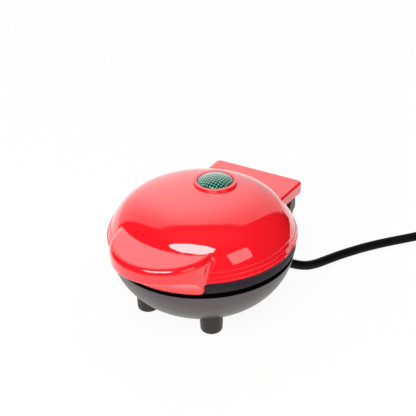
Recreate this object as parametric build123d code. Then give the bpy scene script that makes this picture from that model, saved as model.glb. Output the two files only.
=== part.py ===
from build123d import *
import math
import os

# Mini waffle maker, millimetres, +Z up, +Y to the hinge.
# The origin is on the table, on the axis of the round cooking plates.

# Lid moulding
rim_radius = 63.5
rim_height = 51.7
crown_height = 80.5
side_lean = 8.9
side_rise = 24.0
crown_flat = 43.8
lid_wall = 2.2
bead_count = 3
bead_first = 1.0
bead_pitch = 2.65
bead_size = 0.32

# Crescent handle and the apron below it
handle_reach = 80.3
handle_radius = 34.5
handle_top = 67.8
handle_lip = 57.3
handle_edge = 4.0
handle_lip_edge = 1.2
handle_wall = 2.4
scoop_start = 43.7
apron_low = 43.9
apron_half = 33.6
apron_corner = 2.5
apron_blend = 2.5

# Hinge cover at the rear of the lid
cover_reach = 80.3
cover_half = 34.7
cover_front_half = 33.7
cover_front = 45.0
cover_low = 53.0
cover_top = 60.9
cover_corner = 3.8
cover_edge = 1.7

# Lamp collar, lens and lamp
lamp_y = 17.6
collar_radius = 14.8
collar_top = 81.8
collar_edge = 0.7
collar_foot = 0.4
collar_low = 74.7
lens_hole = 12.35
lens_flange = 12.2
lens_radius = 11.7
lens_seat = 78.2
lens_seat_hole = 11.0
lens_flange_thick = 1.2
lens_side = 2.2
lens_crown = 3.2
holder_radius = 13.6
holder_thick = 1.8
holder_tube = 5.2
holder_low = 62.7
holder_floor = 1.6
lamp_radius = 3.1
lamp_length = 12.5

# Bowl of the base
bowl_radius = 61.7
bowl_edge = 39.7
bowl_lean = 2.6
bowl_drop = 19.0
bowl_spread = 3.6
bowl_flat = 38.8
bowl_low = 8.7
bowl_wall = 2.3
lip_radius = 60.4
lip_top = 41.3
ledge_fall = 0.2
ledge_round = 0.5
vent_count = 5
vent_length = 26.0
vent_width = 2.6
vent_pitch = 6.4

# Feet
foot_x = 24.9
foot_y = 31.2
foot_radius = 7.8
foot_taper = 0.4
foot_round = 2.6
foot_stud = 2.4
foot_stud_top = 14.3

# Waffle plates, the lower one upright and the upper one its mirror image
parting = 42.7
plate_gap = 0.3
land_radius = 52.8
cavity_radius = 50.4
ridge_below_land = 2.85
pocket_depth = 5.0
floor_thick = 3.0
flange_radius = 54.8
flange_low = 34.7
flange_thick = 3.0
grid_pitch = 12.5
ridge_width = 3.0
pocket_draft = 1.2
stud_radius = 4.0

# Heaters, shields and what is fixed to the plates
heater_tube = 3.25
heater_loop = 33.0
heater_open = 30.0
heater_bend = 9.0
heater_leg = 46.0
heater_pin = 1.1
heater_pin_length = 4.0
groove_depth = 1.0
shield_radius = 43.0
shield_thick = 0.6
shield_rim = 2.6
thermostat_x = -17.0
thermostat_radius = 7.6
thermostat_height = 9.6
terminal_length = 5.0
terminal_width = 4.0
terminal_thick = 0.8
terminal_spread = 3.6
fuse_x = 17.0
fuse_radius = 2.0
fuse_length = 11.0

# Bezel rings and their screws
ring_inner = 53.2
ring_outer = 59.0
ring_thick = 2.8
skirt_outer = 62.6
skirt_inner = 60.4
skirt_low = 43.7
skirt_groove_count = 6
skirt_groove = 0.25
skirt_groove_pitch = 1.3
boss_circle = 56.8
boss_radius = 3.0
boss_angle = 30.0
lower_boss_low = 21.7
upper_boss_high = 71.7
screw_shank = 1.2
screw_length = 9.0
screw_head = 1.9
screw_head_thick = 1.3
screw_recess_depth = 1.5
screw_slot = 0.6

# Hinge
hinge_y = 70.0
hinge_z = 47.7
knuckle_radius = 5.0
knuckle_inner = 12.0
knuckle_outer = 22.6
ear_inner = 23.0
ear_outer = 33.0
ear_end_wall = 1.6
pin_radius = 2.0
pin_start = 13.5
tower_front = 63.4
tower_low_y = 57.0
tower_low_z = 20.7
tower_back_y = 67.2
tower_back_z = 38.7
tower_wall = 2.6

# Cord, strain relief, coil and plug
cord_radius = 3.25
gland_turn = 41.0
gland_dip = 26.5
gland_wall_z = 18.2
gland_inside = 7.0
gland_outside = 13.0
gland_root = 5.4
gland_tip = 4.3
coil_outer = 43.4
coil_step = 7.0
coil_rise = 7.0
coil_turns = 2.5
tie_thick = 0.8
tie_width = 5.0
tie_slack = 0.15
plug_relief = 14.0
plug_relief_root = 5.6
plug_relief_tip = 4.2
plug_length = 24.0
plug_thick = 16.0
plug_width = 22.0
plug_edge = 3.0
blade_length = 16.5
blade_width = 6.3
blade_thick = 1.5
blade_spacing = 12.7
lead_radius = 1.0

# Clearances
fixed_gap = 0.05
running_gap = 0.06
seat_gap = 0.1
loose_gap = 0.2

low = (Align.CENTER, Align.CENTER, Align.MIN)
corner = (Align.MIN, Align.MIN, Align.MIN)


def post(radius, bottom, top, x=0.0, y=0.0):
    """Upright cylinder between two heights."""
    return Pos(x, y, bottom) * Cylinder(radius, top - bottom, align=low)


def tube(outer, inner, bottom, top, x=0.0, y=0.0):
    """Upright tube between two heights."""
    return post(outer, bottom, top, x, y) - post(inner, bottom - 1, top + 1, x, y)


def block(x0, x1, y0, y1, z0, z1):
    """Box between two corners."""
    return Pos(x0, y0, z0) * Box(x1 - x0, y1 - y0, z1 - z0, align=corner)


def rod_x(radius, x0, x1, y, z):
    """Cylinder along X."""
    return Pos(x0, y, z) * Rot(0, 90, 0) * Cylinder(radius, x1 - x0, align=low)


def spin(*edges):
    """Solid of revolution of a closed outline drawn in the XZ plane."""
    return revolve(make_face(list(edges)), Axis.Z)


def bezier_at(points, t):
    """Point at t on a cubic curve."""
    s = 1 - t
    weights = (s**3, 3 * s * s * t, 3 * s * t * t, t**3)
    return [sum(w * p[i] for w, p in zip(weights, points)) for i in (0, 2)]


def radius_at(points, height):
    """Radius of a cubic side curve at a height, found by halving."""
    rising = points[3][2] > points[0][2]
    lower, upper = 0.0, 1.0
    for _ in range(40):
        middle = (lower + upper) / 2
        below = bezier_at(points, middle)[1] < height
        if below == rising:
            lower = middle
        else:
            upper = middle
    return bezier_at(points, lower)[0]


def save(name, shape):
    """Writes one piece."""
    export_step(shape, f"parts/{name}.step")
    print(f"{name}: {shape.volume:.1f} mm3, valid {shape.is_valid}")


os.makedirs("parts", exist_ok=True)

# Shapes that several pieces share


def dome_curve(shrink):
    """Side and crown of the dome, moved in by shrink."""
    return (
        (rim_radius - shrink, 0, rim_height),
        (rim_radius - shrink - side_lean, 0, rim_height + side_rise - shrink),
        (crown_flat - shrink / 2, 0, crown_height - shrink),
        (0, 0, crown_height - shrink),
    )


def dome(shrink):
    points = dome_curve(shrink)
    foot_point = (0, 0, rim_height)
    return spin(Bezier(*points), Line(points[3], foot_point), Line(foot_point, points[0]))


def bowl_curve(shrink):
    """Side of the bowl from its edge to its flat, moved in by shrink."""
    return (
        (bowl_radius - shrink, 0, bowl_edge),
        (bowl_radius - bowl_lean - shrink, 0, bowl_edge - bowl_drop + shrink / 3),
        (bowl_flat + bowl_spread - shrink / 2, 0, bowl_low + shrink),
        (bowl_flat - shrink / 2, 0, bowl_low + shrink),
    )


def bowl(shrink, lip, top, fall):
    """Solid bowl with an upright lip, joined to its side by a ledge that falls outwards."""
    points = bowl_curve(shrink)
    centre_low = (0, 0, bowl_low + shrink)
    centre_top = (0, 0, top)
    lip_high = (lip, 0, top)
    lip_foot = (lip, 0, bowl_edge + fall)
    return spin(
        Bezier(*points),
        Line(points[3], centre_low),
        Line(centre_low, centre_top),
        Line(centre_top, lip_high),
        Line(lip_high, lip_foot),
        Line(lip_foot, points[0]),
    )


dome_outer = dome(0)
dome_inner = dome(lid_wall)
bowl_outer = bowl(0, lip_radius, lip_top, ledge_fall)
ledge = bowl_outer.edges().filter_by(lambda e: abs(e.center().Z - bowl_edge) < 0.05)
bowl_outer = fillet(ledge, ledge_round)
bowl_inner = bowl(bowl_wall, bowl_radius - bowl_wall - ledge_fall, lip_top + 1, ledge_fall)
boss_angles = [boss_angle, 180 - boss_angle, 180 + boss_angle, -boss_angle]
boss_spots = [
    (boss_circle * math.cos(math.radians(a)), boss_circle * math.sin(math.radians(a)))
    for a in boss_angles
]


def apron_front(gap):
    """Front view of the apron, with its rounded corners, as a bar along Y."""
    half = apron_half + gap
    floor = apron_low - gap
    wide = rim_radius + 10
    outline = Polyline(
        (-wide, rim_height), (-half, rim_height), (-half, floor), (half, floor),
        (half, rim_height), (wide, rim_height), (wide, rim_height + 5), (-wide, rim_height + 5),
        close=True,
    )
    face = make_face(outline)
    inner_corners = [v for v in face.vertices() if abs(v.Y - rim_height) < 0.01 and abs(v.X) < wide - 1]
    face = fillet(inner_corners, apron_blend)
    low_corners = [v for v in face.vertices() if abs(v.Y - floor) < 0.01]
    face = fillet(low_corners, apron_corner)
    return extrude(Plane.XZ * face, handle_reach + 10)


def plan_shape(half, front_half, front, reach, rear_corner, z0, z1):
    """Upright block that narrows a little to the front, with round rear corners."""
    outline = Polyline((-half, reach), (half, reach), (front_half, front), (-front_half, front), close=True)
    face = make_face(outline)
    face = fillet([v for v in face.vertices() if v.Y > reach - 0.01], rear_corner)
    return Pos(0, 0, z0) * extrude(face, z1 - z0)


# Lid shell
handle_y = handle_radius - handle_reach
scoop_top = (handle_reach, 0, handle_lip)
scoop_foot = (rim_radius, 0, scoop_start)
far = handle_reach + 20
scoop = spin(
    TangentArc(scoop_foot, scoop_top, tangent=(0, 0, 1)),
    Line(scoop_top, (far, 0, handle_lip)),
    Line((far, 0, handle_lip), (far, 0, apron_low - 10)),
    Line((far, 0, apron_low - 10), (rim_radius, 0, apron_low - 10)),
    Line((rim_radius, 0, apron_low - 10), scoop_foot),
)
handle = post(handle_radius, apron_low, handle_top, y=handle_y)
handle = fillet(handle.edges().group_by(Axis.Z)[-1], handle_edge) - scoop
beside_apron = block(-far, far, -far, 0, apron_low - 1, rim_height) - apron_front(0)
handle = handle - beside_apron
lip_line = handle.edges().filter_by(lambda e: abs(e.center().Z - handle_lip) < 1.5 and e.center().Y < -60)
handle = fillet(lip_line, handle_lip_edge)

hollow_foot = (rim_radius - lid_wall, 0, scoop_start)
hollow_end = (handle_reach, 0, handle_lip + handle_wall)
hollow_roof = handle_top - handle_wall
hollow = spin(
    TangentArc(hollow_foot, hollow_end, tangent=(0, 0, 1)),
    Line(hollow_end, (far, 0, hollow_end[2])),
    Line((far, 0, hollow_end[2]), (far, 0, hollow_roof)),
    Line((far, 0, hollow_roof), (rim_radius - 10, 0, hollow_roof)),
    Line((rim_radius - 10, 0, hollow_roof), (rim_radius - 10, 0, scoop_start)),
    Line((rim_radius - 10, 0, scoop_start), hollow_foot),
)
hollow = hollow & post(handle_radius - handle_wall, apron_low, handle_top, y=handle_y)

apron = tube(rim_radius, rim_radius - lid_wall, apron_low, rim_height) & apron_front(0)
below_rim = post(rim_radius - lid_wall, apron_low - 1, rim_height)

cover = plan_shape(cover_half, cover_front_half, cover_front, cover_reach, cover_corner, cover_low, cover_top)
cover = fillet(cover.edges().group_by(Axis.Z)[-1], cover_edge)
cover_hollow = plan_shape(
    cover_half - lid_wall, cover_front_half - lid_wall, cover_front, cover_reach - lid_wall,
    cover_corner - lid_wall, cover_low - 1, cover_top - lid_wall,
) - dome_outer

beads = []
for i in range(bead_count):
    bead_z = rim_height + bead_first + i * bead_pitch
    bead_r = radius_at(dome_curve(0), bead_z)
    beads.append(Pos(0, 0, bead_z) * Torus(bead_r, bead_size))

collar = fillet(post(collar_radius, collar_low, collar_top, y=lamp_y).edges().group_by(Axis.Z)[-1], collar_edge)

knuckles = []
for side in (-1, 1):
    x0 = min(side * knuckle_inner, side * knuckle_outer)
    x1 = max(side * knuckle_inner, side * knuckle_outer)
    arm = block(x0, x1, hinge_y - knuckle_radius, hinge_y + knuckle_radius, hinge_z, cover_top - lid_wall + 0.5)
    root = block(x0, x1, rim_radius - 1.5, hinge_y, rim_height + 0.5, cover_top - lid_wall + 0.5)
    barrel = rod_x(knuckle_radius, x0, x1, hinge_y, hinge_z)
    bore = rod_x(pin_radius + running_gap, x0 - 1, x1 + 1, hinge_y, hinge_z)
    knuckles.append((arm + barrel + root, bore))

upper_web_low = 2 * parting - (flange_low + flange_thick + ring_thick)
upper_web_high = upper_web_low + ring_thick
upper_bosses = []
for x, y in boss_spots:
    envelope = dome_outer + post(rim_radius - lid_wall, apron_low, rim_height)
    upper_bosses.append(post(boss_radius, upper_web_high, upper_boss_high, x, y) & envelope)

crown = dome_outer + collar
collar_joint = [
    e for e in crown.edges()
    if crown_height - 3 < e.center().Z < crown_height and e.length > 4 * collar_radius
]
crown = fillet(collar_joint, collar_foot)

lid = crown + handle + cover + apron + beads
lid = lid - (dome_inner - collar) - below_rim - hollow - cover_hollow
lid = lid + upper_bosses
lid = lid - post(lens_hole, lens_seat, collar_top + 1, y=lamp_y)
lid = lid - post(lens_seat_hole, collar_low - 1, collar_top, y=lamp_y)
for solid, bore in knuckles:
    lid = lid + solid - bore
upper_step = 2 * parting - flange_low
lid = lid - post(flange_radius + loose_gap, upper_web_high - 1, upper_step)
for x, y in boss_spots:
    lid = lid - post(screw_shank + fixed_gap, upper_web_high - 1, upper_web_high + screw_length, x, y)
save("lid_shell", lid)

# Lens, holder and lamp
lens_top = lens_seat + lens_flange_thick + lens_side
lens = post(lens_flange, lens_seat, lens_seat + lens_flange_thick, y=lamp_y)
crown_radius = (lens_radius**2 + lens_crown**2) / (2 * lens_crown)
cap = Pos(0, lamp_y, lens_top + lens_crown - crown_radius) * Sphere(crown_radius)
lens = lens + (post(lens_radius, lens_seat, lens_top + lens_crown + 1, y=lamp_y) & (cap + post(
    lens_radius, lens_seat, lens_top, y=lamp_y)))
save("indicator_lens", lens)

holder = post(holder_radius, collar_low - holder_thick, collar_low, y=lamp_y)
holder = holder + post(holder_tube, holder_low, collar_low, y=lamp_y)
holder = holder - post(lamp_radius + seat_gap, holder_low + holder_floor, collar_low + 1, y=lamp_y)
save("lamp_holder", holder)

lamp_low = holder_low + holder_floor
lamp = post(lamp_radius, lamp_low, lamp_low + lamp_length - lamp_radius, y=lamp_y)
lamp = lamp + Pos(0, lamp_y, lamp_low + lamp_length - lamp_radius) * Sphere(lamp_radius)
save("indicator_lamp", lamp)

# Waffle plates
flange_high = flange_low + flange_thick
land_top = parting - plate_gap / 2
ridge_top = land_top - ridge_below_land
pocket_floor = ridge_top - pocket_depth
plate_back = pocket_floor - floor_thick
heater_z = plate_back - heater_tube + groove_depth
shield_top = heater_z - heater_tube - fixed_gap


def heater_path():
    """Open loop of the heater with its two legs to the rear."""
    loop = CenterArc((0, 0), heater_loop, 90 + heater_open, 360 - 2 * heater_open)
    right = JernArc(loop @ 1, loop % 1, heater_bend, heater_open - 90)
    left = JernArc(loop @ 0, (loop % 0) * -1, heater_bend, 90 - heater_open)
    right_leg = Line(right @ 1, (Vector(right @ 1).X, heater_leg))
    left_leg = Line(left @ 1, (Vector(left @ 1).X, heater_leg))
    return Wire([left_leg, left, loop, right, right_leg]), Vector(right @ 1).X


def heater_sweep(radius):
    path, leg_x = heater_path()
    section = Plane(origin=path @ 0, z_dir=path % 0) * Circle(radius)
    return Pos(0, 0, heater_z) * sweep(section, path=path), leg_x


heater, leg_x = heater_sweep(heater_tube)
groove, _ = heater_sweep(heater_tube + fixed_gap)
for x in (-leg_x, leg_x):
    pin = Pos(x, heater_leg - 1, heater_z) * Rot(-90, 0, 0) * Cylinder(heater_pin, heater_pin_length + 1, align=low)
    heater = heater + pin

pocket_side = grid_pitch - ridge_width
pocket = loft([
    Pos(0, 0, pocket_floor) * Rectangle(pocket_side - 2 * pocket_draft, pocket_side - 2 * pocket_draft),
    Pos(0, 0, ridge_top) * Rectangle(pocket_side, pocket_side),
])
field = post(cavity_radius, pocket_floor - 1, ridge_top + 1)
pockets = []
half_count = math.ceil(cavity_radius / grid_pitch)
for i in range(-half_count, half_count):
    for j in range(-half_count, half_count):
        x, y = (i + 0.5) * grid_pitch, (j + 0.5) * grid_pitch
        if math.hypot(x, y) + pocket_side * 0.71 < cavity_radius:
            pockets.append(Pos(x, y) * pocket)
        elif math.hypot(x, y) < cavity_radius - 2:
            pockets.append((Pos(x, y) * pocket) & field)

plate = post(land_radius, plate_back, land_top) + post(flange_radius, flange_low, flange_high)
plate = plate + post(stud_radius, shield_top, plate_back)
plate = plate - post(cavity_radius, ridge_top, land_top + 1) - pockets - groove
plate = plate - post(screw_shank + fixed_gap, shield_top - 1, shield_top + screw_length - 4)

shield_low = shield_top - shield_thick
shield = post(shield_radius, shield_low, shield_top)
shield = shield + tube(shield_radius, shield_radius - shield_thick, shield_low, shield_top + shield_rim)
leg_gap = leg_x + heater_tube + loose_gap
shield = shield - block(-leg_gap, leg_gap, heater_loop, shield_radius + 1, shield_top, shield_top + shield_rim + 1)
shield = shield - post(screw_shank + loose_gap, shield_low - 1, shield_top + 1)


def screw(length, head_up):
    """Pan head screw with a cross slot, its head face at zero and its shank along -Z, or turned over."""
    body = post(screw_shank, -length, 0) + post(screw_head, 0, screw_head_thick)
    slot = block(-screw_head * 0.7, screw_head * 0.7, -screw_slot / 2, screw_slot / 2, screw_head_thick / 2, 5)
    body = body - slot - Rot(0, 0, 90) * slot
    return body if head_up else Rot(180, 0, 0) * body


mid_plane = Plane.XY.offset(parting)
shield_screw = Pos(0, 0, shield_low) * screw(screw_length - 4.5, False)
save("lower_plate", plate)
save("upper_plate", mirror(plate, about=mid_plane))
save("lower_element", heater)
save("upper_element", mirror(heater, about=mid_plane))
opening = post(thermostat_radius + loose_gap, shield_low - 1, shield_top + 1, x=thermostat_x)
save("lower_reflector", shield - opening)
save("upper_reflector", mirror(shield, about=mid_plane))
save("lower_reflector_screw", shield_screw)
save("upper_reflector_screw", mirror(shield_screw, about=mid_plane))

# Thermostat under the lower plate and thermal fuse on the back of the upper plate
thermostat = post(thermostat_radius, plate_back - thermostat_height, plate_back, x=thermostat_x)
terminal_low = plate_back - thermostat_height - terminal_length
for side in (-1, 1):
    x = thermostat_x + side * terminal_spread
    thermostat = thermostat + block(
        x - terminal_thick / 2, x + terminal_thick / 2, -terminal_width / 2, terminal_width / 2,
        terminal_low, plate_back - thermostat_height + 0.5)
save("thermostat", thermostat)

upper_back = 2 * parting - plate_back
fuse = Pos(fuse_x, -fuse_length / 2, upper_back + fuse_radius + fixed_gap) * Rot(-90, 0, 0) * Cylinder(
    fuse_radius, fuse_length, align=low)
save("thermal_fuse", fuse)

# Bezel rings
web_low = flange_high
web_high = web_low + ring_thick
ring = tube(ring_outer, ring_inner, web_low, web_high)
for x, y in boss_spots:
    ring = ring - post(screw_head + seat_gap, web_high - screw_recess_depth, web_high + 1, x, y)
    ring = ring - post(screw_shank + loose_gap, web_low - 1, web_high + 1, x, y)
save("lower_bezel", ring)

skirt = tube(skirt_outer, ring_inner, upper_web_low, upper_web_high)
skirt = skirt + tube(skirt_outer, skirt_inner, skirt_low, rim_height)
for i in range(skirt_groove_count):
    groove_z = rim_height - (i + 0.8) * skirt_groove_pitch
    skirt = skirt - Pos(0, 0, groove_z) * Torus(skirt_outer, skirt_groove)
notch = tube(rim_radius + 5, rim_radius - lid_wall - loose_gap, parting - 2, rim_height + 1) & apron_front(loose_gap)
skirt = skirt - notch
for x, y in boss_spots:
    skirt = skirt - post(screw_head + seat_gap, parting, upper_web_low + screw_recess_depth, x, y)
    skirt = skirt - post(screw_shank + loose_gap, parting, upper_web_high + 1, x, y)
save("upper_bezel", skirt)

for i, (x, y) in enumerate(boss_spots, 1):
    save(f"lower_screw_{i}", Pos(x, y, web_high - screw_recess_depth) * screw(screw_length, True))
    save(f"upper_screw_{i}", Pos(x, y, upper_web_low + screw_recess_depth) * screw(screw_length, False))

# Base shell with the hinge tower
back_run = tower_back_y - tower_low_y
back_rise = tower_back_z - tower_low_z
back_length = math.hypot(back_run, back_rise)
inset_y = tower_wall * back_rise / back_length
inset_z = tower_wall * back_run / back_length
barrel_foot = (hinge_y, hinge_z - knuckle_radius)
tower_face = make_face(Polyline(
    (40, tower_low_z - 4), (tower_low_y - 4, tower_low_z - 4), (tower_low_y, tower_low_z),
    (tower_back_y, tower_back_z), barrel_foot, (hinge_y - knuckle_radius, hinge_z),
    (tower_front, lip_top), (40, lip_top), close=True))
tower = Pos(-ear_outer, 0, 0) * extrude(Plane.YZ * tower_face, 2 * ear_outer)
tower = tower + rod_x(knuckle_radius, -ear_outer, ear_outer, hinge_y, hinge_z)
tower = tower & plan_shape(
    ear_outer, ear_outer, 30, hinge_y + knuckle_radius, cover_corner, 0, hinge_z + 2 * knuckle_radius)
slot_floor = bowl_edge
tower = tower - block(-ear_inner, ear_inner, tower_front - 0.5, hinge_y + 10, slot_floor, hinge_z + 10)
cavity_roof = slot_floor - tower_wall
roof_y = tower_low_y - inset_y + (cavity_roof - tower_low_z - inset_z) * back_run / back_rise
cavity_face = make_face(Polyline(
    (40, tower_low_z + inset_z), (tower_low_y - inset_y, tower_low_z + inset_z),
    (roof_y, cavity_roof), (40, cavity_roof), close=True))
cavity_half = ear_outer - tower_wall
cavity = Pos(-cavity_half, 0, 0) * extrude(Plane.YZ * cavity_face, 2 * cavity_half)

lower_bosses = [post(boss_radius, lower_boss_low, web_low, x, y) & bowl_outer for x, y in boss_spots]
base = bowl_outer + tower - bowl_inner - cavity
base = base + lower_bosses
base = base - post(flange_radius + loose_gap, flange_low, web_low + 1)
for x, y in boss_spots:
    base = base - post(screw_shank + fixed_gap, web_low - screw_length, web_low + 1, x, y)
for x in (-foot_x, foot_x):
    for y in (-foot_y, foot_y):
        base = base - post(foot_stud + fixed_gap, bowl_low - 2, foot_stud_top + 2, x, y)
for i in range(vent_count):
    y = (i - (vent_count - 1) / 2) * vent_pitch
    base = base - Pos(0, y, bowl_low - 1) * extrude(SlotOverall(vent_length, vent_width), bowl_wall + 3)
pin_end = ear_outer - ear_end_wall
for side in (-1, 1):
    x0, x1 = sorted((side * (ear_inner - 1), side * pin_end))
    base = base - rod_x(pin_radius + fixed_gap / 2, x0, x1, hinge_y, hinge_z)

# Strain relief through the wall of the bowl
turn = math.radians(gland_turn)
dip = math.radians(gland_dip)
gland_axis = Vector(math.sin(turn) * math.cos(dip), math.cos(turn) * math.cos(dip), -math.sin(dip))
wall_radius = radius_at(bowl_curve(0), gland_wall_z)
gland_point = Vector(wall_radius * math.sin(turn), wall_radius * math.cos(turn), gland_wall_z)
gland_start = gland_point - gland_axis * gland_inside
gland_end = gland_point + gland_axis * gland_outside
gland_frame = Plane(origin=gland_start, z_dir=gland_axis)
gland_length = gland_inside + gland_outside
gland = gland_frame * Cone(gland_root, gland_tip, gland_length, align=low)
hole = gland_frame * Cone(gland_root + seat_gap, gland_tip + seat_gap, gland_length, align=low)
base = base - hole
save("base_shell", base)
save("cord_gland", gland)

for side, name in ((-1, "left"), (1, "right")):
    x0, x1 = sorted((side * pin_start, side * pin_end))
    save(f"hinge_pin_{name}", rod_x(pin_radius, x0, x1, hinge_y, hinge_z))

# Feet
for sign_y, row in ((-1, "front"), (1, "rear")):
    for sign_x, side in ((-1, "left"), (1, "right")):
        foot_high = foot_stud_top
        foot = Cone(foot_radius - foot_taper, foot_radius, foot_high, align=low)
        foot = fillet(foot.edges().group_by(Axis.Z)[0], foot_round)
        foot = Pos(sign_x * foot_x, sign_y * foot_y, 0) * foot
        foot = foot - Pos(0, 0, -seat_gap) * bowl_outer
        foot = foot + post(foot_stud, foot_round, foot_stud_top, sign_x * foot_x, sign_y * foot_y)
        save(f"foot_{row}_{side}", foot)

# Free cord, from the strain relief to the start of the coil
floor_z = cord_radius
coil_z = cord_radius + tie_slack + tie_thick
coil_centre = Vector(156.5, 138.0, coil_z)
coil_heading = math.radians(53.0)
heading = Vector(math.cos(coil_heading), math.sin(coil_heading), 0)
coil_side = Vector(math.sin(coil_heading), -math.cos(coil_heading), 0)
coil_start = coil_centre - coil_side * coil_outer
lead_in = 2 * cord_radius
cord_end = coil_start - heading * lead_in
route = [
    gland_end,
    gland_end + gland_axis * 11,
    Vector(52.7, 66.8, floor_z + 0.75),
    Vector(57.8, 79.0, floor_z),
    Vector(64.6, 91.9, floor_z),
    Vector(79.0, 114.0, floor_z),
    cord_end - heading * 24,
    cord_end,
]
radii = []
for a, b, c in zip(route, route[1:], route[2:]):
    bend = math.radians((b - a).get_angle(c - b))
    radii.append(0.45 * min((b - a).length, (c - b).length) / math.tan(bend / 2))
print("cord arc radii", [round(r, 1) for r in radii], "least allowed", 10 * cord_radius)
print("cord runs", [round((b - a).length, 1) for a, b in zip(route, route[1:])])
cord_path = FilletPolyline(*route, radius=radii)
cord = sweep(Plane(origin=cord_path @ 0, z_dir=cord_path % 0) * Circle(cord_radius), path=cord_path)
cord_length = cord_path.length
print(f"free cord {cord_length:.1f} mm, volume ratio {cord.volume / (math.pi * cord_radius**2 * cord_length):.4f}")
save("power_cord", cord)

# Coil of the put-away length, two layers, wound clockwise
start_angle = math.atan2(-coil_side.Y, -coil_side.X)
coil_turning_point = coil_turns / 2
climb_start = coil_turning_point - 0.25
climb_end = coil_turning_point + 0.25


def coil_spot(turns):
    """Centre of the lead after a number of turns: the radius shrinks, then grows, and the height climbs once."""
    reach = coil_outer - coil_step * (coil_turning_point - abs(turns - coil_turning_point))
    climb = min(max((turns - climb_start) / (climb_end - climb_start), 0), 1)
    angle = start_angle - 2 * math.pi * turns
    return coil_centre + Vector(reach * math.cos(angle), reach * math.sin(angle), coil_rise * climb)


def coil_direction(turns):
    """Direction of the lead, from the spots a little before and after."""
    step = 0.02
    return (coil_spot(turns + step) - coil_spot(turns - step)).normalized()


def arc_from(start, tangent, end):
    """Arc that leaves start along tangent and reaches end."""
    chord = end - start
    along = chord.normalized()
    aside = (tangent - along * tangent.dot(along)).normalized()
    half = math.radians(tangent.get_angle(chord)) / 2
    middle = (start + end) * 0.5 + aside * (chord.length / 2 * math.tan(half))
    return ThreePointArc(start, middle, end)


def two_arcs(start, tangent, end, end_tangent):
    """Two arcs that meet smoothly, from one spot and direction to another."""
    chord = end - start
    total = tangent + end_tangent
    spread = 2 * (1 - tangent.dot(end_tangent))
    reach = (-chord.dot(total) + math.sqrt(chord.dot(total) ** 2 + spread * chord.dot(chord))) / spread
    joint = (start + end + (tangent - end_tangent) * reach) * 0.5
    joint_tangent = (end - start - (tangent + end_tangent) * reach).normalized()
    return [arc_from(start, tangent, joint), arc_from(joint, joint_tangent, end)]


quarter_count = round(coil_turns * 4)
stops = [i * coil_turns / quarter_count for i in range(quarter_count + 1)]
spots = [coil_spot(t) for t in stops]
directions = [coil_direction(t) for t in stops]
directions[0] = heading
directions[-1] = Vector(directions[-1].X, directions[-1].Y, 0).normalized()
coil_edges = [Line(cord_end, spots[0])]
for k in range(quarter_count):
    coil_edges += two_arcs(spots[k], directions[k], spots[k + 1], directions[k + 1])
tail = spots[-1] + directions[-1] * lead_in
coil_edges.append(Line(spots[-1], tail))
coil_path = Wire(coil_edges)
coil = sweep(Plane(origin=cord_end, z_dir=heading) * Circle(cord_radius), path=coil_path)
coil_length = coil_path.length
print(f"coil {coil_length:.1f} mm, volume ratio {coil.volume / (math.pi * cord_radius**2 * coil_length):.4f}")
samples = [coil_path @ (i / 600) for i in range(601)]
spacing = coil_length / 600
least = min(
    (samples[i] - samples[j]).length
    for i in range(601)
    for j in range(i + 1, 601)
    if (j - i) * spacing > 8 * cord_radius
)
print(f"least gap of the coil to itself {least - 2 * cord_radius:.2f} mm")
print(f"whole cord {cord_length + coil_length:.0f} mm")
save("cord_coil", coil)

# Tie round the two layers, where they lie one on the other
tie_turn = climb_start - 0.25
tie_angle = start_angle - 2 * math.pi * tie_turn
tie_spot = coil_spot(tie_turn)
tie_half = cord_radius + tie_slack
tie_high = coil_rise + 2 * tie_half
tie_face = Pos(0, coil_rise / 2) * (
    RectangleRounded(2 * (tie_half + tie_thick), tie_high + 2 * tie_thick, tie_half + tie_thick - 0.1)
    - RectangleRounded(2 * tie_half, tie_high, tie_half - 0.1)
)
tie_frame = Plane(
    origin=tie_spot,
    x_dir=(math.cos(tie_angle), math.sin(tie_angle), 0),
    z_dir=(math.sin(tie_angle), -math.cos(tie_angle), 0),
)
save("cord_tie", extrude(tie_frame * tie_face, tie_width / 2, both=True))

# Plug at the end of the lead, lying on its edge beside the coil
plug_frame = Plane(origin=tail, z_dir=directions[-1], x_dir=(0, 0, 1))
relief = Cone(plug_relief_tip, plug_relief_root, plug_relief + 1, align=low)
grip = Pos(0, 0, plug_relief) * Box(plug_width, plug_thick, plug_length, align=low)
grip = fillet(grip.edges(), plug_edge)
save("plug_body", plug_frame * (relief + grip))
for side, name in ((-1, "left"), (1, "right")):
    blade = Pos(side * blade_spacing / 2, 0, plug_relief + plug_length) * Box(
        blade_thick, blade_width, blade_length, align=low)
    save(f"plug_blade_{name}", plug_frame * blade)

# Two leads inside the base
lead_aside = Vector(math.cos(turn), -math.sin(turn), 0) * (lead_radius + 0.4)
lead_entry = gland_start - gland_axis * fixed_gap
live_terminal = Vector(thermostat_x + terminal_spread, 0, terminal_low - fixed_gap)
pin_y = heater_leg + heater_pin_length / 2
lead_routes = {
    "lead_live": (
        [lead_entry + lead_aside, lead_entry + lead_aside - gland_axis * 5, Vector(14, 20, 16.7),
         Vector(-4, 5, 13.9), Vector(live_terminal.X, 0, 13.3), live_terminal],
        [2, 8, 4, 1.4],
    ),
    "lead_neutral": (
        [lead_entry - lead_aside, lead_entry - lead_aside - gland_axis * 5, Vector(17, 42, 18.7),
         Vector(leg_x, pin_y, 19.7), Vector(leg_x, pin_y, heater_z - heater_pin - fixed_gap)],
        [2, 3, 3],
    ),
}
for name, (points, bends) in lead_routes.items():
    path = FilletPolyline(*points, radius=bends)
    lead = sweep(Plane(origin=path @ 0, z_dir=path % 0) * Circle(lead_radius), path=path)
    save(name, lead)
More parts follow.
